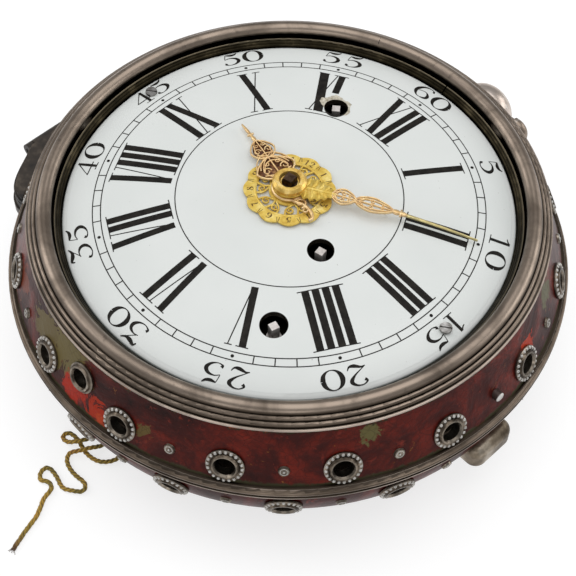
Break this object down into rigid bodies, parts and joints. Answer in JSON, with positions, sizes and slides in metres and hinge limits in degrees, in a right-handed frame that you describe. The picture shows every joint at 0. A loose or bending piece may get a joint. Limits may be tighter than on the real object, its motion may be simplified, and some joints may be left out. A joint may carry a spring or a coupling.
{
  "type": "coach clock",
  "caption": "Round travelling clock: domed enamel dial, pierced gilt hands, studded leather-covered case that hinges open, bowl-shaped back with bell, hanging bow.",
  "frame": {"origin": "centre of the flat under the bowl, on the table, straight below the middle of the dial", "axes": "+Z out of the dial, +Y to 12 o'clock where the pendant is, +X to 3 o'clock where the thumb-piece is"},
  "size_m": [0.1485, 0.1793, 0.0551],
  "materials": {
    "silver": "aged silver, worn bright on the edges",
    "covering": "glossy red lacquer over leather",
    "brass": "old brass",
    "gilt": "fire gilt, chased",
    "enamel": "white enamel",
    "steel": "polished steel",
    "bell_metal": "cast bronze",
    "cord": "twisted silk, faded olive"
  },
  "bodies": {
    "back_case": {"back_shell": "silver", "back_covering": "covering", "back_rim": "silver", "back_eyelets": "silver", "back_pins": "silver", "hinge_back_leaf": "silver", "hinge_pin": "steel", "pendant": "silver", "thumb_piece": "silver", "latch_catch": "silver", "cord_eyelet": "silver", "bell": "bell_metal", "bell_post": "silver", "bell_nut": "steel", "dial_ring": "brass", "dial": "enamel", "dial_screws": "steel", "front_plate": "brass", "back_plate": "brass", "plate_pillars": "brass", "balance_cock": "brass", "pull_cord": "cord"},
    "front_case": {"front_rim": "silver", "front_shell": "silver", "front_covering": "covering", "bezel": "silver", "front_eyelets": "silver", "front_pins": "silver", "band_grommet": "silver", "hinge_front_leaf": "silver"},
    "push_button": {"push_button": "silver", "latch_tongue": "steel"},
    "bow": {"bow": "silver"},
    "minute_hand": {"minute_hand": "gilt", "hand_collar": "gilt", "cannon_pinion": "steel", "centre_arbor": "steel"},
    "minute_wheel": {"minute_wheel": "brass"},
    "hour_hand": {"hour_hand": "gilt", "hour_wheel": "brass"},
    "alarm_disc": {"alarm_disc": "gilt"},
    "alarm_barrel": {"alarm_barrel": "brass"},
    "going_barrel": {"going_barrel": "brass"},
    "strike_barrel": {"strike_barrel": "brass"},
    "alarm_arbor": {"alarm_arbor": "steel"},
    "going_arbor": {"going_arbor": "steel"},
    "strike_arbor": {"strike_arbor": "steel"},
    "hammer": {"hammer": "steel"},
    "balance_wheel": {"balance_wheel": "steel"}
  },
  "joints": [
    {"name": "front_opens", "type": "hinge", "parent": "back_case", "child": "front_case", "pos_m": [-0.0745, 0, 0.0238], "axis": [0, -1, 0], "range_deg": [0, 95]},
    {"name": "button_presses", "type": "slide", "parent": "front_case", "child": "push_button", "axis": [-1, 0, 0], "range_m": [0, 0.0012], "stiffness_N_per_m": 300},
    {"name": "bow_swings", "type": "hinge", "parent": "back_case", "child": "bow", "pos_m": [0, 0.079, 0.022], "axis": [1, 0, 0], "range_deg": [-30, 180]},
    {"name": "minute_hand_turns", "type": "hinge", "parent": "back_case", "child": "minute_hand", "pos_m": [0, 0, 0.046], "axis": [0, 0, 1], "continuous": true},
    {"name": "minute_wheel_turns", "type": "hinge", "parent": "back_case", "child": "minute_wheel", "pos_m": [-0.01039, 0.006, 0.043], "axis": [0, 0, 1], "continuous": true},
    {"name": "hour_hand_turns", "type": "hinge", "parent": "back_case", "child": "hour_hand", "pos_m": [0, 0, 0.046], "axis": [0, 0, 1], "continuous": true},
    {"name": "alarm_disc_turns", "type": "hinge", "parent": "hour_hand", "child": "alarm_disc", "pos_m": [0, 0, 0.0505], "axis": [0, 0, 1], "continuous": true},
    {"name": "alarm_barrel_turns", "type": "hinge", "parent": "back_case", "child": "alarm_barrel", "pos_m": [-0.01292, 0.02916, 0.03], "axis": [0, 0, 1], "continuous": true},
    {"name": "going_barrel_turns", "type": "hinge", "parent": "back_case", "child": "going_barrel", "pos_m": [0.01769, -0.00693, 0.03], "axis": [0, 0, 1], "continuous": true},
    {"name": "strike_barrel_turns", "type": "hinge", "parent": "back_case", "child": "strike_barrel", "pos_m": [0.02455, -0.02874, 0.03], "axis": [0, 0, 1], "continuous": true},
    {"name": "alarm_arbor_turns", "type": "hinge", "parent": "back_case", "child": "alarm_arbor", "pos_m": [-0.01292, 0.02916, 0.04], "axis": [0, 0, 1], "continuous": true},
    {"name": "going_arbor_turns", "type": "hinge", "parent": "back_case", "child": "going_arbor", "pos_m": [0.01769, -0.00693, 0.04], "axis": [0, 0, 1], "continuous": true},
    {"name": "strike_arbor_turns", "type": "hinge", "parent": "back_case", "child": "strike_arbor", "pos_m": [0.02455, -0.02874, 0.04], "axis": [0, 0, 1], "continuous": true},
    {"name": "hammer_swings", "type": "hinge", "parent": "back_case", "child": "hammer", "pos_m": [-0.04629, -0.00816, 0.018], "axis": [0, 0, 1], "range_deg": [-2, 10], "stiffness_Nm_per_rad": 0.002},
    {"name": "balance_swings", "type": "hinge", "parent": "back_case", "child": "balance_wheel", "pos_m": [-0.02, -0.012, 0.016], "axis": [0, 0, 1], "range_deg": [-120, 120], "stiffness_Nm_per_rad": 0.00002}
  ],
  "couplings": [
    {"joint": "minute_wheel_turns", "follows": "minute_hand_turns", "ratio": -0.33333},
    {"joint": "hour_hand_turns", "follows": "minute_hand_turns", "ratio": 0.083333}
  ]
}
